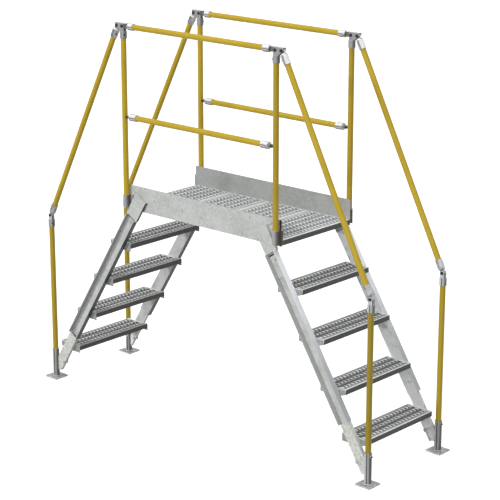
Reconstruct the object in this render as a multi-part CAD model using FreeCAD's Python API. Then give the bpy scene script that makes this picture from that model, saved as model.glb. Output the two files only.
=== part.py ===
import FreeCAD, Part
import math
import os

# Crossover platform: two flights of four treads up to a deck with side plates and pipe rails.
# Millimetres, +Z up, origin on the floor at the middle, X along the crossing, Y across it.
# Every piece is drawn once in the front right quarter (+X, -Y) and mirrored to the others.

# Flights and deck
step_rise = 254.0
step_run = 159.4
tread_count = 4
first_rise = 246.4
top_nosing_past_deck = 153.0
tread_depth = 177.8
tread_skirt = 30.0
tread_sheet = 2.5
tread_corner_radius = 10.0
tread_end_height = 46.0
tread_end_thickness = 4.0
clear_half_width = 299.5
plank_pitch = 307.0
plank_count = 4
plank_gap = 2.0

# Open diamonds in the treads and planks, a plain grid in place of the finer one
diamond_columns = 10
tread_diamond_rows = 3
deck_diamond_rows = 5
tread_diamond_margin = 6.9
deck_diamond_margin = 15.0
diamond_end_margin = 12.5
diamond_strand = 11.0

# Side plates
side_plate_past_deck = 2.0
side_plate_height = 152.4
side_plate_below_deck = 33.0
side_plate_thickness = 3.0

# Stringers, channels with their flanges turned outwards
stringer_setback = 46.7
stringer_height = 76.2
stringer_web = 4.0
stringer_flange = 35.8
stringer_flange_thickness = 4.0
stringer_top_below_plate = 22.4
stringer_flange_foot_z = 338.0
stringer_tongue = 215.0

# Top brackets, shallow pans on the side plates, each with a tongue down inside the stringer
bracket_length = 152.4
bracket_upper_margin = 11.0
bracket_lower_margin = 7.0
bracket_depth = 18.0
bracket_sheet = 3.5
bracket_tongue = 150.0

# Feet
base_plate_size = 100.0
base_plate_thickness = 9.5
anchor_hole_radius = 5.5
anchor_hole_offset = 37.0
socket_radius = 21.0
socket_height = 179.5
foot_bracket_sheet = 4.0
foot_bracket_flange = 4.0
foot_bracket_inset = 5.0
foot_bracket_end_z = 54.0

# Rails
pipe_radius = 16.7
pipe_wall = 3.4
post_inside_deck_end = 22.8
top_rail_height = 1069.3
mid_rail_height = 534.8
end_post_past_nosing = 26.0
knuckle_pin_z = 1071.9
slope_pin_offset = 44.8

# Pipe fittings
fit_gap = 0.3
sleeve_wall = 4.0
cap_sleeve_length = 37.0
plug_thickness = 5.0
tongue_length = 25.0
rail_tongue_length = 50.0
tongue_half_thickness = 6.0
tongue_radius = 14.0
shoulder_length = 8.0
cheek_thickness = 5.0
pin_radius = 6.0
pin_head_radius = 7.0
pin_head_height = 4.5
mid_pin_radius = 4.0
mid_pin_stands_out = 2.0
rail_mouth = 88.0
slope_mouth = 79.0
mid_mouth = 76.0
mid_pin_from_post = 25.0
mid_lug_radius = 7.5
cap_plate_thickness = 2.5
cap_plate_past_post = 33.0
cap_plate_past_pin = 16.0
pin_above_plug = 30.0

# Post clamps, straps round the post feet on back plates
clamp_height = 81.0
clamp_back_thickness = 2.5
clamp_back_half_width = 38.0
clamp_strap = 3.0
post_foot_above_plate_edge = 13.0
clamp_bracket_gap = 1.0

# How far a cutting shape runs past the face that it opens
overrun = 1.0

# What follows from the sizes above
deck_z = first_rise + tread_count * step_rise
deck_end_x = plank_count * plank_pitch / 2
top_nosing_x = deck_end_x + top_nosing_past_deck
first_nosing_x = top_nosing_x + (tread_count - 1) * step_run
post_x = deck_end_x - post_inside_deck_end
end_post_x = first_nosing_x + end_post_past_nosing
slope_length = math.hypot(step_rise, step_run)
across = (step_rise / slope_length, step_run / slope_length)
nosing_line = across[0] * top_nosing_x + across[1] * (deck_z - step_rise)
stringer_upper = nosing_line - stringer_setback
stringer_lower = stringer_upper - stringer_height
side_plate_bottom = deck_z - side_plate_below_deck
side_plate_outer = clear_half_width + side_plate_thickness
clamp_back_outer = side_plate_outer + clamp_back_thickness
rail_y = clear_half_width + side_plate_thickness + clamp_back_thickness + fit_gap + pipe_radius
bore_radius = pipe_radius + fit_gap
sleeve_radius = bore_radius + sleeve_wall
rail_z = deck_z + top_rail_height
mid_z = deck_z + mid_rail_height
slope_pin = (post_x + slope_pin_offset, rail_z)
knuckle_pin = (end_post_x, knuckle_pin_z)
slope_reach = math.hypot(knuckle_pin[0] - slope_pin[0], knuckle_pin[1] - slope_pin[1])
slope_down = ((knuckle_pin[0] - slope_pin[0]) / slope_reach, (knuckle_pin[1] - slope_pin[1]) / slope_reach)
post_foot_z = side_plate_bottom + post_foot_above_plate_edge
cheek_outer = tongue_half_thickness + fit_gap + cheek_thickness


def box(x, y, z):
    low = FreeCAD.Vector(min(x), min(y), min(z))
    return Part.makeBox(abs(x[1] - x[0]), abs(y[1] - y[0]), abs(z[1] - z[0]), low)


def prism(points, y):
    """A flat outline of (x, z) points, drawn out between two values of y."""
    corners = [FreeCAD.Vector(px, y[0], pz) for px, pz in points]
    face = Part.Face(Part.makePolygon(corners + corners[:1]))
    return face.extrude(FreeCAD.Vector(0, y[1] - y[0], 0))


def rod(start, end, radius):
    axis = end.sub(start)
    return Part.makeCylinder(radius, axis.Length, start, axis)


def at(x, z, y=0.0):
    """A point of the front rail plane, y further towards the front."""
    return FreeCAD.Vector(x, -rail_y - y, z)


def on_slope(n, s):
    """The (x, z) point n out from the slope line through the origin and s up along it."""
    return (n * across[0] - s * across[1], n * across[1] + s * across[0])


def slope_s(n, z):
    """How far up the slope the line n reaches the height z."""
    return (z - n * across[1]) / across[0]


def fuse(shapes):
    return shapes[0].multiFuse(shapes[1:]).removeSplitter() if len(shapes) > 1 else shapes[0]


def flip_x(shape):
    return shape.mirror(FreeCAD.Vector(0, 0, 0), FreeCAD.Vector(1, 0, 0))


def flip_y(shape):
    return shape.mirror(FreeCAD.Vector(0, 0, 0), FreeCAD.Vector(0, 1, 0))


def save(name, shape):
    shape.exportStep("parts/" + name + ".step")


def save_corners(name, shape):
    """One node for each of the four corners."""
    save(name + "_front_right", shape)
    save(name + "_front_left", flip_x(shape))
    save(name + "_back_right", flip_y(shape))
    save(name + "_back_left", flip_x(flip_y(shape)))


def save_set(name, shapes):
    """One node that holds the same pieces at all four corners."""
    every = []
    for shape in shapes:
        every += [shape, flip_x(shape), flip_y(shape), flip_x(flip_y(shape))]
    save(name, Part.makeCompound(every))


# Treads and deck planks
def rounded_block(x, half_y, z, radius):
    """A block whose two upright edges on its +X side are rounded."""
    block = box(x, (-half_y, half_y), z)
    if radius == 0:
        return block
    upright = [e for e in block.Edges
               if e.BoundBox.ZLength > e.BoundBox.XLength + e.BoundBox.YLength
               and e.CenterOfMass.x > (x[0] + x[1]) / 2]
    return block.makeFillet(radius, upright)


def diamonds(front_x, back_x, z, rows, margin):
    """Upright prisms that open the diamonds: one set down each row, one between the rows."""
    half_x = (front_x - back_x - 2 * margin) / rows / 2
    half_y = (clear_half_width - diamond_end_margin) / diamond_columns
    share = 1 - diamond_strand / 2 * math.hypot(half_x, half_y) / (half_x * half_y)
    prisms = []
    for row in range(1, 2 * rows):
        for column in range(1, 2 * diamond_columns):
            if (row + column) % 2:
                x = back_x + margin + row * half_x
                y = column * half_y - clear_half_width + diamond_end_margin
                corners = [FreeCAD.Vector(x + dx * share * half_x, y + dy * share * half_y, z[0])
                           for dx, dy in ((1, 0), (0, 1), (-1, 0), (0, -1), (1, 0))]
                prisms.append(Part.Face(Part.makePolygon(corners)).extrude(FreeCAD.Vector(0, 0, z[1] - z[0])))
    return Part.makeCompound(prisms)


def plank(front_x, back_x, top_z, end_height, corner_radius, rows, margin):
    """A folded plank: open top sheet, two long skirts and an end plate at each side."""
    bottom = top_z - tread_skirt
    end_inside = clear_half_width - tread_end_thickness
    shell = rounded_block((back_x, front_x), clear_half_width, (bottom, top_z), corner_radius)
    hollow = rounded_block((back_x + tread_sheet, front_x - tread_sheet), end_inside,
                           (bottom - overrun, top_z - tread_sheet), max(corner_radius - tread_sheet, 0))
    ends = rounded_block((back_x, front_x), clear_half_width, (top_z - end_height, top_z), corner_radius)
    between = box((back_x - overrun, front_x + overrun), (-end_inside, end_inside),
                  (top_z - end_height - overrun, top_z + overrun))
    openings = diamonds(front_x, back_x, (top_z - tread_sheet - overrun, top_z + overrun), rows, margin)
    return fuse([shell.cut(hollow), ends.cut(between)]).cut(openings)


def build_treads():
    first = plank(first_nosing_x, first_nosing_x - tread_depth, first_rise, tread_end_height,
                  tread_corner_radius, tread_diamond_rows, tread_diamond_margin)
    for step in range(tread_count):
        tread = first.translated(FreeCAD.Vector(-step * step_run, 0, step * step_rise))
        save("tread_right_" + str(step + 1), tread)
        save("tread_left_" + str(step + 1), flip_x(tread))


def build_deck():
    half = (plank_pitch - plank_gap) / 2
    middle_plank = plank(half, -half, deck_z, tread_skirt, 0, deck_diamond_rows, deck_diamond_margin)
    for place in range(plank_count):
        middle = (place - (plank_count - 1) / 2) * plank_pitch
        save("deck_plank_" + str(place + 1), middle_plank.translated(FreeCAD.Vector(middle, 0, 0)))


# Side plates, stringers and their brackets
def build_side_plates():
    half = deck_end_x + side_plate_past_deck
    plate = box((-half, half), (-side_plate_outer, -clear_half_width),
                (side_plate_bottom, side_plate_bottom + side_plate_height))
    save("side_plate_front", plate)
    save("side_plate_back", flip_y(plate))


def slope_bar(n, s, y):
    """A bar along the slope between two values of n, s and y."""
    corners = [on_slope(n[0], s[0]), on_slope(n[1], s[0]), on_slope(n[1], s[1]), on_slope(n[0], s[1])]
    return prism(corners, y)


stringer_top_s = slope_s(stringer_upper, side_plate_bottom - stringer_top_below_plate)
stringer_foot_s = slope_s(stringer_upper, stringer_flange_foot_z)
stringer_span = (stringer_foot_s, stringer_top_s)
bracket_span = (stringer_top_s, stringer_top_s + bracket_length)
bracket_edges = (stringer_lower - bracket_lower_margin, stringer_upper + bracket_upper_margin)
bracket_outer = side_plate_outer + bracket_depth
foot_edges = (stringer_lower + foot_bracket_inset, stringer_upper - foot_bracket_inset)
foot_inside = (foot_edges[0] + foot_bracket_flange, foot_edges[1] - foot_bracket_flange)


def build_stringers():
    inner_y = -clear_half_width
    web_y = inner_y - stringer_web
    tip_y = inner_y - stringer_flange
    web = slope_bar((stringer_lower, stringer_upper), stringer_span, (inner_y, web_y))
    tongue = slope_bar(foot_inside, (stringer_foot_s - stringer_tongue, stringer_foot_s), (inner_y, web_y))
    low_flange = (stringer_lower, stringer_lower + stringer_flange_thickness)
    high_flange = (stringer_upper - stringer_flange_thickness, stringer_upper)
    low = slope_bar(low_flange, stringer_span, (inner_y, tip_y))
    high = slope_bar(high_flange, stringer_span, (inner_y, tip_y))
    save_corners("stringer", fuse([web, tongue, low, high]))


def build_top_brackets():
    low, high = bracket_edges
    start, end = bracket_span
    back, front = -side_plate_outer, -bracket_outer
    outer = slope_bar((low, high), (start, end), (back, front))
    inner = slope_bar((low + bracket_sheet, high - bracket_sheet),
                      (start + bracket_sheet, end - bracket_sheet), (back + overrun, front + bracket_sheet))
    web_y = -clear_half_width - stringer_web
    inside = (stringer_lower + stringer_flange_thickness, stringer_upper - stringer_flange_thickness)
    tongue = slope_bar(inside, (start - bracket_tongue, start + bracket_sheet), (web_y, web_y - bracket_sheet))
    save_set("top_brackets", [fuse([outer.cut(inner), tongue])])


# Feet
socket_top = base_plate_thickness + socket_height


def foot_outline(low, high):
    """The bracket's outline between two lines of the slope, cut upright at the socket."""
    top = stringer_foot_s
    return [on_slope(high, top), on_slope(low, top), on_slope(low, slope_s(low, foot_bracket_end_z)),
            (end_post_x, foot_bracket_end_z), (end_post_x, (high - across[0] * end_post_x) / across[1])]


def foot_bracket():
    """A pan open towards the treads, over the stringer's web and welded to the socket."""
    inner_y = -clear_half_width
    web_y = -rail_y + foot_bracket_sheet
    outer = prism(foot_outline(*foot_edges), (inner_y, -rail_y))
    hollow = prism(foot_outline(*foot_inside), (inner_y + overrun, web_y))
    past_top = slope_bar(foot_inside, (stringer_foot_s - overrun, stringer_foot_s + overrun),
                         (inner_y + overrun, web_y))
    past_end = box((end_post_x - 2 * socket_radius, end_post_x), (inner_y + overrun, web_y),
                   (foot_bracket_end_z - overrun, foot_bracket_end_z + 2 * socket_radius))
    return outer.cut(hollow).cut(past_top).cut(past_end)


def build_feet():
    half = base_plate_size / 2
    plate = box((end_post_x - half, end_post_x + half), (-rail_y - half, -rail_y + half),
                (0, base_plate_thickness))
    for dx in (-anchor_hole_offset, anchor_hole_offset):
        for dy in (-anchor_hole_offset, anchor_hole_offset):
            x, y = end_post_x + dx, -rail_y + dy
            hole = rod(FreeCAD.Vector(x, y, -overrun), FreeCAD.Vector(x, y, base_plate_thickness + overrun),
                       anchor_hole_radius)
            plate = plate.cut(hole)
    socket = rod(at(end_post_x, base_plate_thickness), at(end_post_x, socket_top), socket_radius)
    bore = rod(at(end_post_x, base_plate_thickness), at(end_post_x, socket_top + overrun), bore_radius)
    save_corners("foot", fuse([plate, socket, foot_bracket().cut(socket)]).cut(bore))


# Pipe rails
def pipe(start, end):
    return rod(start, end, pipe_radius).cut(rod(start, end, pipe_radius - pipe_wall))


def swivel_sleeve(pin, direction, neck, mouth):
    """A sleeve for a pipe end, with a shoulder and a flat tongue that turns on a pin."""
    def along(distance, y=0.0):
        return at(pin[0] + direction[0] * distance, pin[1] + direction[1] * distance, y)

    half = tongue_half_thickness
    side = (-direction[1] * tongue_radius, direction[0] * tongue_radius)
    reach = neck + plug_thickness
    end = (pin[0] + direction[0] * reach, pin[1] + direction[1] * reach)
    bar = prism([(pin[0] + side[0], pin[1] + side[1]), (end[0] + side[0], end[1] + side[1]),
                 (end[0] - side[0], end[1] - side[1]), (pin[0] - side[0], pin[1] - side[1])],
                (-rail_y - half, -rail_y + half))
    eye = rod(at(pin[0], pin[1], half), at(pin[0], pin[1], -half), tongue_radius)
    shoulder = Part.makeCone(tongue_radius, sleeve_radius, shoulder_length, along(neck - shoulder_length),
                             along(neck).sub(along(0)))
    sleeve = rod(along(neck), along(mouth), sleeve_radius)
    bore = rod(along(reach), along(mouth + overrun), bore_radius)
    hole = rod(at(pin[0], pin[1], half + overrun), at(pin[0], pin[1], -half - overrun), pin_radius + fit_gap)
    return fuse([bar, eye, shoulder, sleeve]).cut(bore).cut(hole)


def pin_with_heads(x, z):
    shank = rod(at(x, z, cheek_outer), at(x, z, -cheek_outer), pin_radius)
    front = rod(at(x, z, cheek_outer), at(x, z, cheek_outer + pin_head_height), pin_head_radius)
    back = rod(at(x, z, -cheek_outer), at(x, z, -cheek_outer - pin_head_height), pin_head_radius)
    return fuse([shank, front, back])


def cheeks(outline, circles=()):
    """The two flat cheeks of a clevis, rounded about the given pins."""
    plates = []
    for side in (-1, 1):
        near = side * (tongue_half_thickness + fit_gap)
        far = side * cheek_outer
        plates.append(prism(outline, (-rail_y - near, -rail_y - far)))
        plates += [rod(at(x, z, near), at(x, z, far), tongue_radius) for x, z in circles]
    return plates


def post_sleeve(x, plug_z):
    return rod(at(x, plug_z - cap_sleeve_length), at(x, plug_z + plug_thickness), sleeve_radius)


def post_bore(x, plug_z):
    return rod(at(x, plug_z - cap_sleeve_length - overrun), at(x, plug_z), bore_radius)


def corner_cap():
    """A sleeve on a post, with a folded yoke above it that holds the pins of two rails."""
    cap_z = rail_z + tongue_radius + fit_gap
    left = post_x - tongue_radius
    outline = [(left, post_plug_z), (left, cap_z), (slope_pin[0] + tongue_radius, cap_z),
               (slope_pin[0] + tongue_radius, rail_z), (post_x + tongue_radius, post_plug_z)]
    top = box((post_x - cap_plate_past_post, slope_pin[0] + cap_plate_past_pin),
              (-rail_y - cheek_outer, -rail_y + cheek_outer), (cap_z, cap_z + cap_plate_thickness))
    pins = [pin_with_heads(post_x, rail_z), pin_with_heads(*slope_pin)]
    whole = fuse([post_sleeve(post_x, post_plug_z), top] + cheeks(outline) + pins)
    return whole.cut(post_bore(post_x, post_plug_z))


def knuckle_cap():
    """A sleeve on an end post with two rounded cheeks that hold the sloping rail's pin."""
    left, right = end_post_x - tongue_radius, end_post_x + tongue_radius
    outline = [(left, end_plug_z), (left, knuckle_pin_z), (right, knuckle_pin_z), (right, end_plug_z)]
    whole = fuse([post_sleeve(end_post_x, end_plug_z), pin_with_heads(*knuckle_pin)]
                 + cheeks(outline, [knuckle_pin]))
    return whole.cut(post_bore(end_post_x, end_plug_z))


post_plug_z = rail_z - pin_above_plug - plug_thickness
end_plug_z = knuckle_pin_z - pin_above_plug - plug_thickness
pipe_in = tongue_length + plug_thickness
rail_in = rail_tongue_length + plug_thickness
mid_pin_x = post_x - mid_pin_from_post


def build_rails():
    post = pipe(at(post_x, post_foot_z), at(post_x, post_plug_z))
    lug_half = tongue_half_thickness
    lug = fuse([rod(at(mid_pin_x, mid_z, lug_half), at(mid_pin_x, mid_z, -lug_half), mid_lug_radius),
                box((mid_pin_x, post_x), (-rail_y - lug_half, -rail_y + lug_half),
                    (mid_z - mid_lug_radius, mid_z + mid_lug_radius))])
    lug = lug.cut(rod(at(post_x, post_foot_z), at(post_x, rail_z), pipe_radius - pipe_wall))
    lug = lug.cut(rod(at(mid_pin_x, mid_z, lug_half + overrun), at(mid_pin_x, mid_z, -lug_half - overrun),
                      mid_pin_radius + fit_gap))
    save_corners("post", fuse([post, lug]))

    end_post = pipe(at(end_post_x, base_plate_thickness), at(end_post_x, end_plug_z))
    save_corners("end_post", end_post)

    top = pipe(at(-post_x + rail_in, rail_z), at(post_x - rail_in, rail_z))
    save("top_rail_front", top)
    save("top_rail_back", flip_y(top))
    mid_end = mid_pin_x - pipe_in
    mid = pipe(at(-mid_end, mid_z), at(mid_end, mid_z))
    save("mid_rail_front", mid)
    save("mid_rail_back", flip_y(mid))

    upper = (slope_pin[0] + slope_down[0] * pipe_in, slope_pin[1] + slope_down[1] * pipe_in)
    lower = (knuckle_pin[0] - slope_down[0] * pipe_in, knuckle_pin[1] - slope_down[1] * pipe_in)
    save_corners("slope_rail", pipe(at(*upper), at(*lower)))


def mid_clevis():
    """The mid rail's sleeve: two cheeks that straddle the post's lug."""
    root_x = mid_pin_x - tongue_length
    low, high = mid_z - mid_lug_radius, mid_z + mid_lug_radius
    outline = [(root_x, low), (mid_pin_x, low), (mid_pin_x + mid_lug_radius, mid_z), (mid_pin_x, high),
               (root_x, high)]
    sleeve = rod(at(root_x, mid_z), at(mid_pin_x - mid_mouth, mid_z), sleeve_radius)
    pin_end = cheek_outer + mid_pin_stands_out
    pin = rod(at(mid_pin_x, mid_z, pin_end), at(mid_pin_x, mid_z, -pin_end), mid_pin_radius)
    bore = rod(at(mid_pin_x - pipe_in, mid_z), at(mid_pin_x - mid_mouth - overrun, mid_z), bore_radius)
    return fuse([sleeve, pin] + cheeks(outline)).cut(bore)


def build_fittings():
    up = (-slope_down[0], -slope_down[1])
    save_set("corner_caps", [corner_cap()])
    save_set("knuckle_caps", [knuckle_cap()])
    save_set("swivel_sleeves",
             [swivel_sleeve((post_x, rail_z), (-1.0, 0.0), rail_tongue_length, rail_mouth),
              swivel_sleeve(slope_pin, slope_down, tongue_length, slope_mouth),
              swivel_sleeve(knuckle_pin, up, tongue_length, slope_mouth)])
    save_set("mid_rail_sleeves", [mid_clevis()])


# Post clamps
def build_clamps():
    top = post_foot_z + clamp_height
    back = box((post_x - clamp_back_half_width, post_x + clamp_back_half_width),
               (-side_plate_outer, -clamp_back_outer), (post_foot_z, top))
    strap_radius = bore_radius + clamp_strap
    ring = rod(at(post_x, post_foot_z), at(post_x, top), strap_radius)
    sides = box((post_x - strap_radius, post_x + strap_radius), (-clamp_back_outer, -rail_y),
                (post_foot_z, top))
    ears = box((post_x - clamp_back_half_width, post_x + clamp_back_half_width),
               (-clamp_back_outer, -clamp_back_outer - clamp_strap), (post_foot_z, top))
    bore = rod(at(post_x, post_foot_z - overrun), at(post_x, top + overrun), bore_radius)
    channel = box((post_x - bore_radius, post_x + bore_radius), (-clamp_back_outer, -rail_y),
                  (post_foot_z - overrun, top + overrun))
    low, high = bracket_edges
    start, end = bracket_span
    room = slope_bar((low, high + clamp_bracket_gap), (start, end),
                     (-side_plate_outer, -rail_y - 2 * strap_radius))
    clamp = fuse([back, fuse([ring, sides, ears]).cut(bore).cut(channel)]).cut(room)
    save_set("post_clamps", [clamp])


os.makedirs("parts", exist_ok=True)
build_treads()
build_deck()
build_side_plates()
build_stringers()
build_top_brackets()
build_feet()
build_rails()
build_fittings()
build_clamps()
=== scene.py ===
import math

import bmesh
import bpy
from mathutils import Matrix, Vector


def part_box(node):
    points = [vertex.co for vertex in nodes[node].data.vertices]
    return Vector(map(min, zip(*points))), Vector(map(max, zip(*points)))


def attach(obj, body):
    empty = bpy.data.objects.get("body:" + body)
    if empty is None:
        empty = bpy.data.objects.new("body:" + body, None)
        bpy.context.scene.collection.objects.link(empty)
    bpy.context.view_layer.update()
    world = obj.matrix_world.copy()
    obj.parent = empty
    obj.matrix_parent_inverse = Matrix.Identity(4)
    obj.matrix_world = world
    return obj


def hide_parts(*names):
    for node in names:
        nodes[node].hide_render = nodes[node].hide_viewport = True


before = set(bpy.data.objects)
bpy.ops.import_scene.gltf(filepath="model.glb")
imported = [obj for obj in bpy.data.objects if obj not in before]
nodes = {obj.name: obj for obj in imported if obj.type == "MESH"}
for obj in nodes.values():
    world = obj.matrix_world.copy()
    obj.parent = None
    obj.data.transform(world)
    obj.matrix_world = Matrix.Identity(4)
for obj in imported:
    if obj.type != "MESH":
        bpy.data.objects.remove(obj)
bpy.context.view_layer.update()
scene = bpy.context.scene
scene.view_settings.view_transform = "Standard"
print("frame loaded,", len(nodes), "nodes")

# Camera, at the photograph's angle
camera = {
    "place": (6.834, -7.426, 3.994),
    "down": 16.4009,
    "round": 42.1645,
    "lens": 128.0,
}
cameraData = bpy.data.cameras.new("camera")
cameraData.lens = camera["lens"]
cameraData.clip_end = 100
cameraObject = bpy.data.objects.new("camera", cameraData)
cameraObject.location = camera["place"]
cameraObject.rotation_euler = (math.radians(90 - camera["down"]), 0, math.radians(camera["round"]))
scene.collection.objects.link(cameraObject)
scene.camera = cameraObject

# Lights
lights = {
    "key": {"from": (-0.32, -0.86, 0.40), "strength": 1.5, "angle": 10, "tint": (1.0, 0.995, 0.98)},
    "overhead": {"from": (0.16, 0.12, 0.97), "strength": 1.2, "angle": 40, "tint": (0.97, 0.985, 1.0)},
    "fill": {"from": (0.64, -0.72, 0.25), "strength": 1.05, "angle": 60, "tint": (1.0, 1.0, 0.99)},
}
for lightName, light in lights.items():
    lampData = bpy.data.lights.new(lightName, "SUN")
    lampData.energy = light["strength"]
    lampData.angle = math.radians(light["angle"])
    lampData.color = light["tint"]
    lamp = bpy.data.objects.new(lightName, lampData)
    lamp.rotation_euler = Vector(light["from"]).to_track_quat("Z", "Y").to_euler()
    scene.collection.objects.link(lamp)


# Shader nodes as sums
class Wire:
    def __init__(self, recipe, socket):
        self.recipe = recipe
        self.socket = socket

    def maths(self, operation, *values):
        return self.recipe.add("ShaderNodeMath", {"operation": operation}, dict(enumerate(values)))

    def __add__(self, other):
        return self.maths("ADD", self, other)

    def __radd__(self, other):
        return self.maths("ADD", other, self)

    def __sub__(self, other):
        return self.maths("SUBTRACT", self, other)

    def __rsub__(self, other):
        return self.maths("SUBTRACT", other, self)

    def __mul__(self, other):
        return self.maths("MULTIPLY", self, other)

    def __rmul__(self, other):
        return self.maths("MULTIPLY", other, self)


class Recipe:
    def __init__(self, tree):
        self.tree = tree
        tree.nodes.clear()

    def add(self, kind, settings, sockets, out=0):
        node = self.tree.nodes.new(kind)
        for name, value in settings.items():
            if name == "stops":  # (position, grey or colour) pairs of a ramp
                elements = node.color_ramp.elements
                while len(elements) < len(value):
                    elements.new(0.5)
                for element, (position, colour) in zip(elements, value):
                    element.position = position
                    element.color = colour if isinstance(colour, tuple) else (colour, colour, colour, 1)
            else:
                setattr(node, name, value)
        for name, value in sockets.items():
            if isinstance(value, Wire):
                self.tree.links.new(value.socket, node.inputs[name])
            else:
                node.inputs[name].default_value = value
        return Wire(self, node.outputs[out]) if node.outputs else None

    def place(self, stretch=(1, 1, 1)):  # object coordinates, stretched
        here = self.add("ShaderNodeTexCoord", {}, {}, "Object")
        return self.add("ShaderNodeMapping", {"vector_type": "POINT"}, {"Vector": here, "Scale": stretch})

    def noise(self, scale, detail=3, rough=0.55, stretch=(1, 1, 1)):
        return self.add("ShaderNodeTexNoise", {}, {"Vector": self.place(stretch), "Scale": scale,
                                                   "Detail": detail, "Roughness": rough})

    def facing(self, direction):  # how far the surface faces that way, -1 to 1
        normal = self.add("ShaderNodeTexCoord", {}, {}, "Normal")
        return self.add("ShaderNodeVectorMath", {"operation": "DOT_PRODUCT"},
                        {0: normal, 1: direction}, "Value")

    def ramp(self, value, low, high):  # 0 below low, 1 above high
        return self.add("ShaderNodeMapRange", {"interpolation_type": "SMOOTHSTEP"},
                        {"Value": value, "From Min": low, "From Max": high})

    def mix(self, mask, first, second):
        return self.add("ShaderNodeMix", {"data_type": "RGBA"}, {0: mask, 6: first, 7: second}, 2)

    def bump(self, height, distance, strength=1.0):
        return self.add("ShaderNodeBump", {}, {"Height": height, "Distance": distance,
                                               "Strength": strength})

    def surface(self, sockets):
        shader = self.add("ShaderNodeBsdfPrincipled", {}, sockets)
        self.add("ShaderNodeOutputMaterial", {}, {"Surface": shader})


def seenDirectly(recipe):  # 1 for the camera, and for what gloss and glass show
    rays = recipe.add("ShaderNodeLightPath", {}, {}, "Is Camera Ray")
    glossy = Wire(recipe, rays.socket.node.outputs["Is Glossy Ray"])
    through = Wire(recipe, rays.socket.node.outputs["Is Transmission Ray"])
    return rays.maths("MAXIMUM", rays, glossy.maths("MAXIMUM", glossy, through))


def tone(red, green, blue):  # a colour as it is seen on screen, 0 to 255
    def linear(value):
        value = value / 255
        return value / 12.92 if value <= 0.04045 else ((value + 0.055) / 1.055) ** 2.4
    return (linear(red), linear(green), linear(blue), 1.0)


def newFinish(name):
    material = bpy.data.materials.new(name)
    material.use_nodes = True
    return material, Recipe(material.node_tree)


slope = {  # the flights' direction, and the way that the stringers' undersides face on the right
    "rise": 0.8470, "run": 0.5316, "underside": (0.847, 0, -0.532),
}


def slopeSums(recipe, here):  # metres along and across the flights' slope
    away = here.maths("ABSOLUTE", here)
    height = Wire(recipe, here.socket.node.outputs["Z"])
    return (height * slope["rise"] - away * slope["run"],
            away * slope["rise"] + height * slope["run"])


def zincFinish(name, pale, dull, streak, rough=(0.42, 0.62), cloud=9, sheen=0.25, marks=None):
    material, recipe = newFinish(name)
    patches = recipe.noise(cloud, 4, 0.6)
    spangle = recipe.add("ShaderNodeTexVoronoi", {"feature": "F1"},
                         {"Vector": recipe.place(), "Scale": 95.0, "Randomness": 1.0}, "Color")
    grain = recipe.add("ShaderNodeSeparateColor", {}, {"Color": spangle})
    runs = recipe.noise(26, 3, 0.6, (1.0, 1.0, 0.12))
    mask = recipe.ramp(patches * 0.72 + grain * 0.28, 0.30, 0.68)
    base = recipe.mix(mask, dull, pale)
    stain = recipe.ramp(runs, 0.60, 0.80) * 0.35
    base = recipe.mix(stain, base, streak)
    if marks:  # small upright smudges, then what the table gives: painted shadow lines, painted shade beneath and the post's painted shadow
        smudges = recipe.ramp(recipe.noise(34, 2, 0.5, (1.0, 1.0, 0.42)), 0.64, 0.72) * marks["smudge"]
        base = recipe.mix(smudges, base, streak)
        here = recipe.add("ShaderNodeSeparateXYZ", {}, {"Vector": recipe.place()}, "X")
        along, across = slopeSums(recipe, here)
        # painted shadow line: a band between two distances along the slope, beyond a distance across it
        line = recipe.ramp(along, *marks["above"]) * recipe.ramp(along, *marks["below"])
        line = line * recipe.ramp(across, *marks["between"])
        base = recipe.mix(line * marks["line"], base, marks["lineTone"])
        if "underShade" in marks:
            # painted shade on the faces that face down the slope
            underShadeMask = recipe.ramp(recipe.facing(slope["underside"]), 0.6, 0.8)
            base = recipe.mix(underShadeMask, base, marks["underShade"])
        # the post's painted shadow, beyond a distance along X
        if "end" in marks:
            base = recipe.mix(recipe.ramp(here, *marks["end"]), base, marks["endTone"])
    fine = recipe.noise(420, 2, 0.5)
    recipe.surface({
        "Base Color": base,
        "Roughness": rough[0] + mask * (rough[1] - rough[0]),
        "Metallic": 0.0,
        "Specular IOR Level": sheen,
        "Normal": recipe.bump(fine * 0.6 + patches, 0.0006, 0.5),
    })
    return material


def paintedReflectionFinish(name, across, reflectionBands, rough, tongueShade=None, shaded=None):  # polished zinc with painted reflection bands, its tone set by which way the surface faces
    material, recipe = newFinish(name)
    turn = recipe.facing(across)
    patches = recipe.noise(reflectionBanding["patch"], 3, 0.6)
    wander = (patches - 0.5) * reflectionBanding["wander"]
    place = turn * 0.5 + 0.5 + wander
    base = recipe.add("ShaderNodeValToRGB", {"stops": [(at, tone(*(value,) * 3)) for at, value in reflectionBands]},
                      {"Fac": place})
    if tongueShade:  # painted shade between two distances from the middle, where a tongue holds a pin
        here = recipe.add("ShaderNodeSeparateXYZ", {}, {"Vector": recipe.place()}, "X")
        away = here.maths("ABSOLUTE", here)
        upper = Wire(recipe, here.socket.node.outputs["Z"])
        tongueShadeMask = (recipe.ramp(away, tongueShade[0], tongueShade[0] + 0.004)
                * recipe.ramp(away, tongueShade[1] + 0.004, tongueShade[1]))
        base = recipe.mix(tongueShadeMask * recipe.ramp(upper, tongueShade[2], tongueShade[2] + 0.01), base, tone(96, 95, 92))
        lower = recipe.ramp(upper, reflectionBanding["lowBelow"][1], reflectionBanding["lowBelow"][0]) * reflectionBanding["lowDulled"]
        mottled = recipe.mix(recipe.ramp(patches, 0.40, 0.60), tone(120, 120, 120), tone(186, 186, 188))
        base = recipe.mix(lower, base, mottled)
    if shaded:  # the right-hand ear, in the post's shade
        here = recipe.add("ShaderNodeSeparateXYZ", {}, {"Vector": recipe.place()}, "X")
        base = recipe.mix(recipe.ramp(here, *shaded), base, tone(70, 60, 48))
    recipe.surface({
        "Base Color": base,
        "Roughness": rough + patches * 0.15,
        "Specular IOR Level": 0.5,
        "Normal": recipe.bump(patches, 0.0004, 0.4),
    })
    return material


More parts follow.
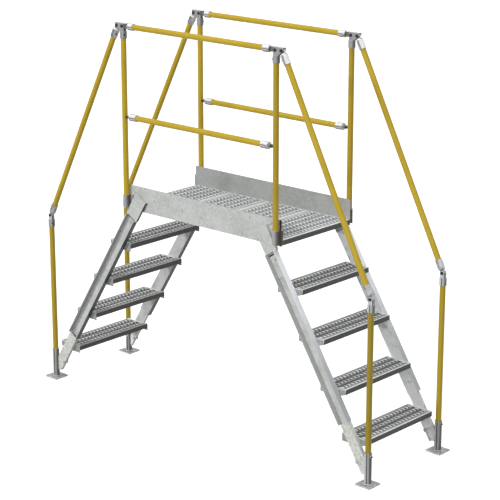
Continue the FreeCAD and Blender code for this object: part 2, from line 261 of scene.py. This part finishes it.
def footFinish(name, pale, dull, reflectionBands):  # a mottled bracket, and a socket with painted reflection bands
    material, recipe = newFinish(name)
    place = recipe.place()
    apart = recipe.add("ShaderNodeVectorMath", {"operation": "ABSOLUTE"}, {0: place}, "Vector")
    apart = recipe.add("ShaderNodeVectorMath", {"operation": "SUBTRACT"},
                       {0: apart, 1: feet["axis"]}, "Vector")
    apart = recipe.add("ShaderNodeVectorMath", {"operation": "MULTIPLY"}, {0: apart, 1: (1, 1, 0)}, "Vector")
    apart = recipe.add("ShaderNodeVectorMath", {"operation": "LENGTH"}, {0: apart}, "Value")
    patches = recipe.noise(60, 4, 0.65)
    runs = recipe.noise(140, 2, 0.5, (1.0, 1.0, 0.05))
    # painted reflection bands on the socket, set by which way it faces
    turn = recipe.facing(reflectionBanding["across"])
    socketReflectionBands = recipe.add("ShaderNodeValToRGB", {"stops": [(at, tone(*(value,) * 3)) for at, value in reflectionBands]},
                        {"Fac": turn * 0.5 + 0.5 + (runs - 0.5) * 0.12})
    base = recipe.mix(recipe.ramp(patches, 0.36, 0.60), dull, pale)
    socket = recipe.ramp(apart, feet["socketRadius"] + 0.0015, feet["socketRadius"] + 0.0005)
    upright = 1 - recipe.ramp(recipe.facing((0, 0, 1)), 0.3, 0.6)
    beyond = recipe.add("ShaderNodeSeparateXYZ", {}, {"Vector": place}, "Y")
    # painted light on the back feet's faces that face -Y
    inner = recipe.ramp(beyond, 0.20, 0.25) * recipe.ramp(recipe.facing((0, -1, 0)), 0.7, 0.9)
    base = recipe.mix(inner, base, tone(246, 247, 244))
    base = recipe.mix(socket * upright, base, socketReflectionBands)
    soleTop = recipe.ramp(recipe.facing((0, 0, 1)), 0.6, 0.9)
    mottled = recipe.mix(recipe.ramp(patches, 0.40, 0.60), tone(140, 139, 136), tone(190, 189, 186))
    base = recipe.mix(soleTop, base, mottled)
    recipe.surface({
        "Base Color": base,
        "Roughness": 0.36 + patches * 0.2,
        "Specular IOR Level": 0.4,
        "Normal": recipe.bump(patches, 0.0005, 0.5),
    })
    return material


def channelFinish(name, web, dull, streak):  # painted highlight on its upper flange, brighter higher up, and painted shade on the faces beneath
    material, recipe = newFinish(name)
    here = recipe.add("ShaderNodeSeparateXYZ", {}, {"Vector": recipe.place()}, "X")
    height = Wire(recipe, here.socket.node.outputs["Z"])
    across = slopeSums(recipe, here)[1]
    patches = recipe.noise(14, 4, 0.6)
    brushed = recipe.noise(60, 3, 0.6, (0.25, 1.0, 1.0))
    runs = recipe.noise(26, 3, 0.6, (1.0, 1.0, 0.12))
    base = recipe.mix(recipe.ramp(patches * 0.6 + brushed * 0.4, 0.32, 0.62), dull, web)
    base = recipe.mix(recipe.ramp(runs, 0.58, 0.80) * 0.4, base, streak)
    # painted highlight on the upper flange's outer face, brighter higher up
    flangeSheen = recipe.mix(recipe.ramp(height + patches * 0.2, *channel["sheenHeights"]),
                       tone(176, 178, 182), tone(242, 243, 248))
    base = recipe.mix(recipe.ramp(across, *channel["upper"]), base, flangeSheen)
    base = recipe.mix(recipe.ramp(across, *channel["lower"]), tone(190, 191, 191), base)
    beyond = Wire(recipe, here.socket.node.outputs["Y"])
    # painted light on the back right stringer's inner face, which faces -Y and lies in the treads' shade
    inner = recipe.ramp(beyond, 0.20, 0.25) * recipe.ramp(recipe.facing((0, -1, 0)), 0.7, 0.9)
    base = recipe.mix(inner * recipe.ramp(here, -0.2, 0.2) * recipe.ramp(patches, 0.30, 0.50), base,
                      tone(246, 247, 247))
    # painted shade on the faces that face down the slope, darkest on the lower flange's outside
    underShadeMask = recipe.facing(slope["underside"])
    inside = 1 - recipe.ramp(across, *channel["lower"])  # the outside of the lower flange
    underShade = recipe.mix(inside, tone(160, 161, 160), tone(62, 62, 62))
    base = recipe.mix(recipe.ramp(underShadeMask, 0.6, 0.8), base, underShade)
    recipe.surface({
        "Base Color": base,
        "Roughness": 0.40 + patches * 0.2,
        "Specular IOR Level": 0.4,
        "Normal": recipe.bump(brushed * 0.6 + patches, 0.0006, 0.5),
    })
    return material


def gratingFinish(name, dull, middle, bright):
    material, recipe = newFinish(name)
    # dull, middle and bright follow worn: painted highlight on raised strands and rims, painted shade at
    # sunk row ends and lower skirts, and wear on the nosing rims
    worn = recipe.add("ShaderNodeAttribute", {"attribute_name": "worn"}, {}, "Fac")
    patches = recipe.noise(24, 3, 0.6)
    base = recipe.mix(recipe.ramp(worn, 0.05, 0.55), dull, middle)
    base = recipe.mix(recipe.ramp(worn + patches * 0.1, 0.62, 1.00), base, bright)
    recipe.surface({
        "Base Color": base,
        "Roughness": 0.62 - worn * 0.2,
        "Specular IOR Level": 0.25,
        "Normal": recipe.bump(recipe.noise(300, 2, 0.5), 0.0005, 0.5),
    })
    return material


def paintFinish(name, colour, worn):
    material, recipe = newFinish(name)
    patches = recipe.noise(7, 3, 0.5)
    peel = recipe.noise(520, 1, 0.4)
    specks = recipe.noise(150, 2, 0.6)
    base = recipe.mix(recipe.ramp(patches, 0.35, 0.72) * 0.5, colour, worn)
    base = recipe.mix(recipe.ramp(specks, 0.70, 0.80) * 0.35, base, tone(92, 80, 42))
    recipe.surface({
        "Base Color": base,
        "Roughness": 0.30 + recipe.ramp(patches, 0.3, 0.7) * 0.14,
        "Specular IOR Level": 0.2,
        "Normal": recipe.bump(peel, 0.0004, 0.35),
    })
    return material


def darkFinish(name, colour, rough):
    material, recipe = newFinish(name)
    patches = recipe.noise(180, 3, 0.6)
    recipe.surface({
        "Base Color": recipe.mix(recipe.ramp(patches, 0.5, 0.8), colour, tone(62, 62, 62)),
        "Roughness": rough + recipe.ramp(patches, 0.3, 0.7) * 0.15,
        "Specular IOR Level": 0.3,
        "Normal": recipe.bump(patches, 0.0003, 0.4),
    })
    return material


feet = {
    "x": 1.2712, "y": 0.322, "axis": (1.2712, 0.322, 0), "plateTop": 0.0095, "socketRadius": 0.021,
    "screwZ": 0.172, "bossRadius": 0.0085, "bossHeight": 0.004, "screwRadius": 0.0045,
    "screwHeight": 0.009, "weldRadius": 0.0038,
}
# which way the painted reflection bands turn, and how they wander
reflectionBanding = {
    "across": (0.80, 0.0, -0.60), "over": (-0.20, 0.0, -0.60), "patch": 60, "wander": 0.10,
    "lowBelow": (1.30, 1.40), "lowDulled": 0.65,  # the sleeves over the end posts are duller
}
channel = {  # metres across the flights' slope, and heights
    "upper": (1.1360, 1.1380),
    "lower": (1.0672, 1.0690),
    "sheenHeights": (0.55, 1.15),
}
plateMarks = {  # a painted shadow line over the top brackets, and the post's painted shadow on the plate's right end
    "smudge": 0.6, "above": (0.8520, 0.8525), "below": (0.8570, 0.8560), "between": (1.0500, 1.0530),
    "line": 0.7, "lineTone": tone(120, 122, 118), "end": (0.6020, 0.6040), "endTone": tone(74, 64, 52),
}
bracketMarks = {  # painted shadow in the gap under the brackets' pans, and painted shade on faces that face down the slope
    "smudge": 0.5, "above": (0.6925, 0.6940), "below": (0.7020, 0.7005), "between": (1.0400, 1.0450),
    "line": 1.0, "lineTone": tone(34, 34, 34), "underShade": tone(60, 61, 60),
}
finishes = {
    "plate": zincFinish("plateZinc", tone(200, 202, 199), tone(180, 183, 180), tone(148, 150, 148),
                        marks=plateMarks),
    "bracket": zincFinish("bracketZinc", tone(202, 204, 200), tone(184, 187, 183), tone(158, 160, 156),
                          marks=bracketMarks),
    "channel": channelFinish("channelZinc", tone(206, 208, 205), tone(182, 184, 180), tone(140, 142, 138)),
    # painted shade: a darker copy of the front plate's zinc for the back plate
    "shadedBackPlate": zincFinish("shadedBackPlateZinc", tone(168, 170, 167), tone(152, 154, 152), tone(132, 134, 132)),
    "grating": gratingFinish("gratingZinc", tone(96, 97, 96), tone(156, 157, 156), tone(230, 231, 230)),
    "deckGrating": gratingFinish("deckZinc", tone(146, 148, 149), tone(176, 178, 179), tone(234, 235, 235)),
    # painted shade on the openings' walls, lighter on the deck
    "deckShadedWall": zincFinish("deckShadedWallZinc", tone(164, 166, 166), tone(148, 150, 150), tone(134, 136, 136)),
    "shadedWall": zincFinish("shadedWallZinc", tone(124, 125, 124), tone(108, 109, 108), tone(96, 96, 96)),
    # painted shade on the planks' ends
    "shadedPlankEnd": zincFinish("shadedPlankEndZinc", tone(160, 162, 160), tone(142, 144, 142), tone(120, 122, 120)),
    # painted shade on the skirts that face ±X
    "skirt": zincFinish("skirtShadeZinc", tone(82, 83, 80), tone(70, 71, 68), tone(60, 60, 58)),
    "foot": footFinish("footZinc", tone(214, 216, 210), tone(184, 186, 178),
                       ((0.14, 150), (0.30, 200), (0.49, 200), (0.54, 66), (0.64, 74),
                        (0.70, 165), (0.80, 156), (0.86, 84), (0.94, 96))),
    # painted reflection bands on the clamps, fittings, yokes and sleeves; the clamps' right-hand ears also
    # get painted shade
    "clamp": paintedReflectionFinish("clampZinc", reflectionBanding["across"],
                          ((0.10, 205), (0.26, 200), (0.32, 158), (0.48, 156), (0.60, 160), (0.70, 150),
                           (0.80, 112), (0.90, 78)), 0.36, shaded=(0.6110, 0.6130)),
    "fitting": paintedReflectionFinish("fittingZinc", reflectionBanding["across"],
                            ((0.14, 150), (0.30, 205), (0.49, 210), (0.54, 84), (0.63, 92),
                             (0.70, 190), (0.80, 172), (0.86, 92), (0.94, 110)), 0.3),
    "yoke": paintedReflectionFinish("yokeZinc", reflectionBanding["across"],
                         ((0.0, 214), (0.22, 206), (0.30, 164), (0.46, 160), (0.50, 146),
                          (0.54, 160), (0.62, 134), (0.70, 168), (0.80, 136), (0.90, 104)), 0.34),
    "sleeve": paintedReflectionFinish("sleeveZinc", reflectionBanding["over"],
                           ((0.19, 160), (0.25, 244), (0.41, 214), (0.46, 112), (0.50, 112), (0.55, 200),
                            (0.64, 172), (0.72, 90)), 0.3, (0.545, 0.574, 2.30)),
    "midSleeve": paintedReflectionFinish("midSleeveZinc", reflectionBanding["over"],
                              ((0.19, 160), (0.25, 244), (0.41, 214), (0.46, 112), (0.50, 112), (0.55, 200),
                               (0.64, 172), (0.72, 90)), 0.3, (0.550, 0.600, 0.0)),
    "head": zincFinish("headZinc", tone(196, 197, 196), tone(172, 173, 172), tone(140, 140, 138)),
    "paint": paintFinish("yellowPaint", tone(188, 160, 42), tone(176, 148, 38)),
    # painted shade: darker copies of the yellow paint for the posts in shade
    "paintShaded": paintFinish("shadedPaint", tone(176, 150, 42), tone(166, 140, 38)),
    "paintDeepShade": paintFinish("deepShadePaint", tone(154, 132, 42), tone(144, 122, 38)),
    "black": darkFinish("blackSteel", tone(24, 24, 25), 0.5),
    # painted shadow: the dark washers round the clamps' bolt heads
    "shadowed": darkFinish("shadowedZinc", tone(64, 65, 64), 0.55),
}
print("finishes made")

# Each CAD node's finish, by the start of its name
nodeFinishes = {
    "side_plate_front": "plate", "side_plate_back": "shadedBackPlate", "top_brackets": "bracket",
    "post_clamps": "clamp", "stringer": "channel",
    "foot": "foot", "post_front_right": "paintShaded", "post_front_left": "paint",
    "post_back_right": "paintShaded", "post_back_left": "paint",
    "end_post_front_right": "paintDeepShade", "end_post": "paintShaded",
    "slope_rail": "paint", "top_rail": "paint", "mid_rail_front": "paint", "mid_rail_back": "paint",
    "corner_caps": "yoke", "knuckle_caps": "fitting", "swivel_sleeves": "sleeve",
    "mid_rail_sleeves": "midSleeve", "tread": "grating", "deck_plank": "grating",
}
for nodeName, node in nodes.items():
    chosen = next(finish for start, finish in nodeFinishes.items() if nodeName.startswith(start))
    for materialSlot in node.material_slots:
        materialSlot.material = finishes[chosen]


def newPiece(name, shape, finishNames, replaced=()):
    mesh = bpy.data.meshes.new(name)
    shape.to_mesh(mesh)
    shape.free()
    piece = bpy.data.objects.new(name, mesh)
    scene.collection.objects.link(piece)
    for finish in finishNames:
        mesh.materials.append(finishes[finish])
    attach(piece, "root")
    if replaced:
        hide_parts(*replaced)
    return piece


def smooth(piece, angle=40):
    for face in piece.data.polygons:
        face.use_smooth = True
    piece.data.set_sharp_from_angle(angle=math.radians(angle))


# Treads and deck planks: a folded sheet round a field of open diamonds
planking = {
    "pitch": 0.0287,        # across the walkway, from diamond to diamond
    "columns": 20,
    "treadRows": 3, "treadRowPitch": 0.0525,
    "treadFieldShift": 0.0045,  # away from the near edge
    "deckRows": 5, "deckRowPitch": 0.055,
    "rise": 0.0035,         # the middle of each row stands above the sheet
    "drop": 0.0035,         # and its ends lie below
    "strand": 0.0092,
    "rounding": 0.0040,     # of the diamonds' corners
    "depth": 0.0085,
    "skirt": 0.030,
    "nosingRadius": 0.010,
    "fold": 0.0040,
    "rim": 0.0050,
    "sheet": 0.0025,
    "lip": 0.0030,          # a tread's field lies this far below its rim
    "endSetback": 0.045,
}


def sized(shape, verts, size, middle):
    bmesh.ops.scale(shape, vec=size, verts=verts)
    bmesh.ops.translate(shape, vec=middle, verts=verts)


def diamondField(rows, rowPitch):
    shape = bmesh.new()
    worn = shape.verts.layers.float.new("worn")
    grid = bmesh.ops.create_grid(shape, x_segments=rows, y_segments=planking["columns"], size=0.5)["verts"]
    sized(shape, grid, (rows * rowPitch, planking["columns"] * planking["pitch"], 1), (0, 0, 0))
    outside = [v for v in grid if v.is_boundary]
    rowEnds = [v for v in grid if not v.is_boundary]
    middles = bmesh.ops.poke(shape, faces=shape.faces)["verts"]
    centres = set(middles)
    seams = [e for e in shape.edges if len(e.link_faces) == 2 and not centres & set(e.verts)]
    bmesh.ops.dissolve_edges(shape, edges=seams, use_verts=False)
    bmesh.ops.translate(shape, vec=(0, 0, planking["rise"]), verts=middles)
    bmesh.ops.translate(shape, vec=(0, 0, -planking["drop"]), verts=rowEnds)
    bmesh.ops.translate(shape, vec=(0, 0, -planking["sheet"] / 2), verts=outside)
    diamonds = [face for face in shape.faces if len(face.verts) == 4]
    bmesh.ops.inset_individual(shape, faces=diamonds, thickness=planking["strand"] / 2, use_even_offset=True)
    corners = list({v for face in diamonds for v in face.verts})
    bmesh.ops.bevel(shape, geom=corners, offset=planking["rounding"], segments=1, profile=0.5,
                    affect="VERTICES", material=-1)
    openings = [face for face in shape.faces if len(face.verts) == 8]
    bmesh.ops.delete(shape, geom=openings, context="FACES_ONLY")
    # painted light by height: raised row middles light, sunk row ends dark
    for v in shape.verts:
        v[worn] = (v.co.z + planking["drop"]) / (planking["rise"] + planking["drop"])
    bmesh.ops.solidify(shape, geom=shape.faces[:], thickness=planking["depth"])
    # the openings' walls take the painted shade finish in slot 2
    for face in shape.faces:
        face.normal_update()
        face.material_index = 2 if abs(face.normal.z) < 0.6 else 0
    return shape


def foldedSheet(size, field, endDrop, lip, shift):
    shape = bmesh.new()
    worn = shape.verts.layers.float.new("worn")
    body = bmesh.ops.create_cube(shape, size=1)["verts"]
    sized(shape, body, (size.x, size.y, planking["skirt"]), (0, 0, -planking["skirt"] / 2))
    bottom = [face for face in shape.faces if face.normal.z < -0.5]
    bmesh.ops.delete(shape, geom=bottom, context="FACES_ONLY")
    if endDrop:
        upright = [e for e in shape.edges if min(v.co.x for v in e.verts) > 0
                   and abs(e.verts[0].co.z - e.verts[1].co.z) > planking["skirt"] / 2]
        bmesh.ops.bevel(shape, geom=upright, offset=planking["nosingRadius"], segments=4, profile=0.5,
                        affect="EDGES", material=-1)
        hems = [e for e in shape.edges if e.is_boundary
                and abs(sum(v.co.y for v in e.verts)) > size.y - planking["fold"]]
        folds = bmesh.ops.extrude_edge_only(shape, edges=hems)["geom"]
        foldVerts = [v for v in folds if isinstance(v, bmesh.types.BMVert)]
        bmesh.ops.translate(shape, vec=(0, 0, -endDrop), verts=foldVerts)
        foremost = [v for v in foldVerts if v.co.x > size.x / 4]
        bmesh.ops.translate(shape, vec=(-planking["endSetback"], 0, 0), verts=foremost)
    rim = [e for e in shape.edges if all(v.co.z > -planking["fold"] / 10 for v in e.verts)]
    bmesh.ops.bevel(shape, geom=rim, offset=planking["fold"], segments=2, profile=0.5,
                    affect="EDGES", material=-1)
    top = max(shape.faces, key=lambda face: face.calc_area() * face.normal.z)
    bmesh.ops.inset_region(shape, faces=[top], thickness=planking["rim"], use_even_offset=True)
    inside = [max(v.co[i] for v in top.verts) * 2 for i in (0, 1)]
    bmesh.ops.scale(shape, vec=(field[0] / inside[0], field[1] / inside[1], 1), verts=top.verts)
    bmesh.ops.translate(shape, vec=(shift, 0, -lip), verts=top.verts)
    bmesh.ops.delete(shape, geom=[top], context="FACES_ONLY")
    # painted light: rims bright, brightest on the nosing side, lower skirt edges dark; the rims also carry
    # wear
    for v in shape.verts:
        rim = 1.2 if v.co.x > 0 or not endDrop else 0.75
        v[worn] = 0.3 if v.co.z < -planking["fold"] * 1.01 else rim
    bmesh.ops.solidify(shape, geom=shape.faces[:], thickness=planking["sheet"])
    # faces that face ±X take the skirts' painted shade finish, those that face ±Y the ends' painted shade
    # finish
    for face in shape.faces:
        face.normal_update()
        face.material_index = 1 if abs(face.normal.x) > 0.9 else 3 if abs(face.normal.y) > 0.6 else 0
    return shape


def makePlank(nodeName, rows, rowPitch, tread):
    low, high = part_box(nodeName)
    size = high - low
    lip, shift = (planking["lip"], planking["treadFieldShift"]) if tread else (0.0, 0.0)
    if low.x > 0:
        shift = -shift
    shape = foldedSheet(size, (rows * rowPitch, planking["columns"] * planking["pitch"]),
                        size.z - planking["skirt"] if tread else 0.0, lip, shift)
    inner = diamondField(rows, rowPitch)
    bmesh.ops.translate(inner, vec=(shift, 0, -lip), verts=inner.verts)
    innerMesh = bpy.data.meshes.new("field")
    inner.to_mesh(innerMesh)
    inner.free()
    shape.from_mesh(innerMesh)
    bpy.data.meshes.remove(innerMesh)
    if low.x < 0 and tread:
        bmesh.ops.rotate(shape, verts=shape.verts, matrix=Matrix.Rotation(math.pi, 3, "Z"))
    middle = (low + high) / 2
    bmesh.ops.translate(shape, vec=(middle.x, middle.y, high.z), verts=shape.verts)
    top, inside = ("grating", "shadedWall") if tread else ("deckGrating", "deckShadedWall")
    looks = (top, "skirt", inside, "shadedPlankEnd")
    newPiece(nodeName + "_grating", shape, looks, (nodeName,))


for step in range(1, 5):
    makePlank("tread_right_%d" % step, planking["treadRows"], planking["treadRowPitch"], True)
    makePlank("tread_left_%d" % step, planking["treadRows"], planking["treadRowPitch"], True)
    makePlank("deck_plank_%d" % step, planking["deckRows"], planking["deckRowPitch"], False)
print("planks made")


# Fasteners, drawn in the front right quarter and mirrored to the others
def turned(direction):
    return Vector(direction).to_track_quat("Z", "Y").to_matrix()


def addDisc(shape, place, direction, radius, height, segments=24, edge=0.0):
    verts = bmesh.ops.create_cone(shape, cap_ends=True, segments=segments, radius1=radius, radius2=radius,
                                  depth=height)["verts"]
    bmesh.ops.translate(shape, vec=(0, 0, height / 2), verts=verts)
    if edge:
        top = [e for v in verts for e in v.link_edges if all(w.co.z > height * 0.99 for w in e.verts)]
        made = bmesh.ops.bevel(shape, geom=list(set(top)), offset=edge, segments=2, profile=0.5,
                               affect="EDGES", material=-1)
        verts = list({v for v in verts if v.is_valid} | set(made["verts"]))
    bmesh.ops.rotate(shape, verts=verts, matrix=turned(direction))
    bmesh.ops.translate(shape, vec=place, verts=verts)


def mirrored(shape, axes=("X", "Y")):
    for axis in axes:
        everything = shape.verts[:] + shape.edges[:] + shape.faces[:]
        bmesh.ops.mirror(shape, geom=everything, axis=axis, merge_dist=0.00001)
    bmesh.ops.recalc_face_normals(shape, faces=shape.faces)
    return shape


bolts = {
    "headRadius": 0.0085, "headHeight": 0.0055,
    "washerRadius": 0.0115, "washerHeight": 0.0016,
    "clampX": 0.5912, "clampSpread": 0.027, "clampZ": 1.3119, "clampFace": 0.308,
    "bracketFace": 0.3070, "bracketPlaces": ((0.5772, 1.1533),),
    "footFace": 0.322, "footPlaces": ((1.1950, 0.1141),),
    "webFace": 0.2995,
}
heads, washers = bmesh.new(), bmesh.new()
out = (0, -1, 0)


def addBolt(x, face, z, direction=out):
    lift = Vector(direction) * bolts["washerHeight"]
    place = Vector((x, -face, z))
    addDisc(washers, place, direction, bolts["washerRadius"], bolts["washerHeight"])
    addDisc(heads, place + lift, direction, bolts["headRadius"], bolts["headHeight"], 6, 0.0012)


for x, z in bolts["bracketPlaces"]:
    addBolt(x, bolts["bracketFace"], z)
for x, z in bolts["footPlaces"]:
    addBolt(x, bolts["footFace"], z)
    addBolt(x, bolts["webFace"], z, (0, 1, 0))
newPiece("bolt_heads", mirrored(heads), ("head",))
newPiece("bolt_washers", mirrored(washers), ("head",))
heads, washers = bmesh.new(), bmesh.new()
for side in (-1, 1):  # the clamps' bolts are all on their left ears
    addBolt(side * bolts["clampX"] - bolts["clampSpread"], bolts["clampFace"], bolts["clampZ"])
newPiece("clamp_bolt_heads", mirrored(heads, ("Y",)), ("head",))
# washers with painted shadow round the clamp bolts
newPiece("clamp_bolt_washers", mirrored(washers, ("Y",)), ("shadowed",))

# Black pin ends on the rail fittings
pins = {
    "radius": 0.0092, "height": 0.0052, "railY": 0.322, "reach": 0.0113,
    "places": ((0.5912, 2.3317), (0.6360, 2.3317), (1.2712, 1.0719)),
    "midPlace": (0.5662, 1.7972), "midRadius": 0.0076, "midReach": 0.0113, "midHeight": 0.0030,
    "screwRadius": 0.0056, "screwHeight": 0.0020,
    "screws": (  # on the sleeves' inner sides: place and the way each faces
        ((0.5730, -0.3314, 2.2810), (-0.89, -0.46, 0)), ((1.2530, -0.3314, 1.0220), (-0.89, -0.46, 0)),
        ((0.6425, -0.3318, 2.2790), (-0.78, -0.48, -0.39)),
    ),
}
pinEnds = bmesh.new()
for x, z in pins["places"]:
    for side in (-1, 1):
        start = (x, -pins["railY"] + side * pins["reach"], z)
        addDisc(pinEnds, start, (0, side, 0), pins["radius"], pins["height"], 20, 0.0012)
for side in (-1, 1):
    start = (pins["midPlace"][0], -pins["railY"] + side * pins["midReach"], pins["midPlace"][1])
    addDisc(pinEnds, start, (0, side, 0), pins["midRadius"], pins["midHeight"], 16, 0.0008)
for place, direction in pins["screws"]:
    addDisc(pinEnds, place, direction, pins["screwRadius"], pins["screwHeight"], 12)
smooth(newPiece("pin_ends", mirrored(pinEnds), ("black",)))

# Set screws in the sockets, and the weld round each socket's foot
bosses, screws = bmesh.new(), bmesh.new()
screwStart = (feet["x"] + feet["socketRadius"] - 0.001, -feet["y"], feet["screwZ"])
addDisc(bosses, screwStart, (1, 0, 0), feet["bossRadius"], feet["bossHeight"], 20, 0.001)
addDisc(screws, screwStart, (1, 0, 0), feet["screwRadius"], feet["screwHeight"], 16, 0.0008)
smooth(newPiece("set_screw_bosses", mirrored(bosses), ("fitting",)))
smooth(newPiece("set_screws", mirrored(screws), ("black",)))

welds = bmesh.new()
ring = bmesh.ops.create_circle(welds, cap_ends=False, segments=8, radius=feet["weldRadius"])["verts"]
bmesh.ops.rotate(welds, verts=ring, matrix=Matrix.Rotation(math.pi / 2, 3, "X"))
bmesh.ops.translate(welds, vec=(feet["socketRadius"], 0, 0), verts=ring)
bmesh.ops.spin(welds, geom=welds.verts[:] + welds.edges[:], cent=(0, 0, 0), axis=(0, 0, 1),
               angle=2 * math.pi, steps=32, use_merge=True)
bmesh.ops.translate(welds, vec=(feet["x"], -feet["y"], feet["plateTop"]), verts=welds.verts)
smooth(newPiece("socket_welds", mirrored(welds), ("fitting",)), 80)
print("fasteners made")

# Floor and background
stage = {"half": 30.0, "floorTone": 0.35, "ambient": 0.38, "glow": 0.8}
floorShape = bmesh.new()
bmesh.ops.create_grid(floorShape, x_segments=1, y_segments=1, size=stage["half"])
floorMesh = bpy.data.meshes.new("floor")
floorShape.to_mesh(floorMesh)
floorShape.free()
floor = bpy.data.objects.new("floor", floorMesh)
scene.collection.objects.link(floor)
floorFinish, recipe = newFinish("paleFloor")
seen = seenDirectly(recipe)
grey = (stage["floorTone"],) * 3 + (1,)
plain = recipe.add("ShaderNodeBsdfDiffuse", {}, {"Color": grey})
bright = recipe.add("ShaderNodeBsdfDiffuse", {}, {"Color": (0.5, 0.5, 0.5, 1)})
glow = recipe.add("ShaderNodeEmission", {}, {"Strength": stage["glow"]})
lit = recipe.add("ShaderNodeAddShader", {}, {0: bright, 1: glow})
recipe.add("ShaderNodeOutputMaterial", {},
           {"Surface": recipe.add("ShaderNodeMixShader", {}, {0: seen, 1: plain, 2: lit})})
floorMesh.materials.append(floorFinish)

world = bpy.data.worlds.new("studio")
scene.world = world
world.use_nodes = True
recipe = Recipe(world.node_tree)
seen = seenDirectly(recipe)
ambient = recipe.add("ShaderNodeBackground", {},
                     {"Color": (0.95, 0.98, 1.0, 1), "Strength": stage["ambient"]})
white = recipe.add("ShaderNodeBackground", {}, {"Color": (1, 1, 1, 1), "Strength": 1.0})
recipe.add("ShaderNodeOutputWorld", {},
           {"Surface": recipe.add("ShaderNodeMixShader", {}, {0: seen, 1: ambient, 2: white})})
print("stage made")
